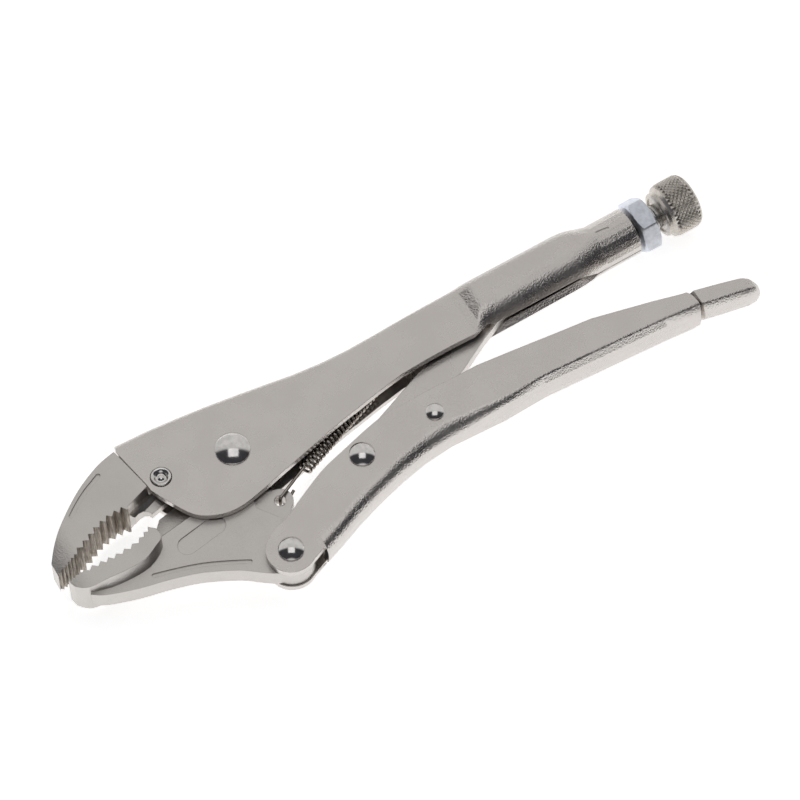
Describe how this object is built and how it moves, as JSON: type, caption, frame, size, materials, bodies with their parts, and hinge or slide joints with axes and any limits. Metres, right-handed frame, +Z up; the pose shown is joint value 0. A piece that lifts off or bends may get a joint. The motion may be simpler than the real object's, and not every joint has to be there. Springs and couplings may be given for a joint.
{
  "type": "locking pliers",
  "caption": "Locking pliers with curved toothed jaws and a wire cutter, held shut by a toggle link and set by a knurled adjusting screw with a lock nut.",
  "frame": {"origin": "middle of the pliers' outline, on the surface they lie on, under the middle plane of their thickness", "axes": "+X along the adjusting screw from the jaws to the knob, +Y from the lower handle to the upper handle, +Z up through the thickness of the pliers"},
  "size_m": [0.246, 0.0702, 0.019],
  "materials": {
    "nickel_plate": "satin nickel plate over pressed sheet",
    "jaw_steel": "satin nickel plate over forged steel, teeth ground",
    "plain_steel": "plain steel",
    "polished_rivet": "bright domed rivet heads",
    "spring_wire": "dark oiled spring wire",
    "zinc_plate": "bluish zinc plate",
    "knurled_nickel": "nickel plate, knurled"
  },
  "bodies": {
    "frame": {"upper_handle": "nickel_plate", "upper_jaw": "jaw_steel", "fixed_jaw_pin": "polished_rivet", "main_pivot_rivet": "polished_rivet", "thread_insert": "plain_steel", "jaw_spring": "spring_wire"},
    "moving_jaw": {"lower_jaw": "jaw_steel"},
    "squeeze_handle": {"lower_handle": "nickel_plate", "jaw_handle_rivet": "polished_rivet", "link_rivet": "polished_rivet", "release_lever_rivet": "polished_rivet"},
    "toggle": {"toggle_link": "plain_steel"},
    "lever": {"release_lever": "nickel_plate"},
    "screw": {"adjusting_screw": "plain_steel"},
    "knob": {"adjusting_knob": "knurled_nickel"},
    "nut": {"lock_nut": "zinc_plate"}
  },
  "joints": [
    {"name": "jaw_hinge", "type": "hinge", "parent": "frame", "child": "moving_jaw", "pos_m": [-0.05355, 0.01345, 0.0095], "axis": [0, 0, 1], "range_deg": [0, 14.01], "deforming": ["jaw_spring"]},
    {"name": "handle_hinge", "type": "hinge", "parent": "moving_jaw", "child": "squeeze_handle", "pos_m": [-0.05585, -0.02695, 0.0095], "axis": [0, 0, -1], "range_deg": [0, 50]},
    {"name": "toggle_hinge", "type": "hinge", "parent": "squeeze_handle", "child": "toggle", "pos_m": [-0.01935, -0.01005, 0.0095], "axis": [0, 0, 1], "range_deg": [0, 57.61]},
    {"name": "lever_hinge", "type": "hinge", "parent": "squeeze_handle", "child": "lever", "pos_m": [0.00825, -0.00945, 0.0095], "axis": [0, 0, 1], "range_deg": [0, 5]},
    {"name": "screw_slide", "type": "slide", "parent": "frame", "child": "screw", "axis": [1, 0, 0], "range_m": [-0.0025, 0.018]},
    {"name": "knob_turn", "type": "hinge", "parent": "screw", "child": "knob", "pos_m": [0.11015, 0.01695, 0.0095], "axis": [1, 0, 0], "range_deg": [-601, 4321]},
    {"name": "nut_turn", "type": "hinge", "parent": "frame", "child": "nut", "pos_m": [0.10025, 0.01695, 0.0095], "axis": [1, 0, 0], "range_deg": [0, 360]}
  ],
  "couplings": [
    {"joint": "jaw_hinge", "follows": "handle_hinge", "ratio": 0.28},
    {"joint": "toggle_hinge", "follows": "handle_hinge", "ratio": 1.152},
    {"joint": "knob_turn", "follows": "screw_slide", "rad_per_m": 4188.8}
  ]
}
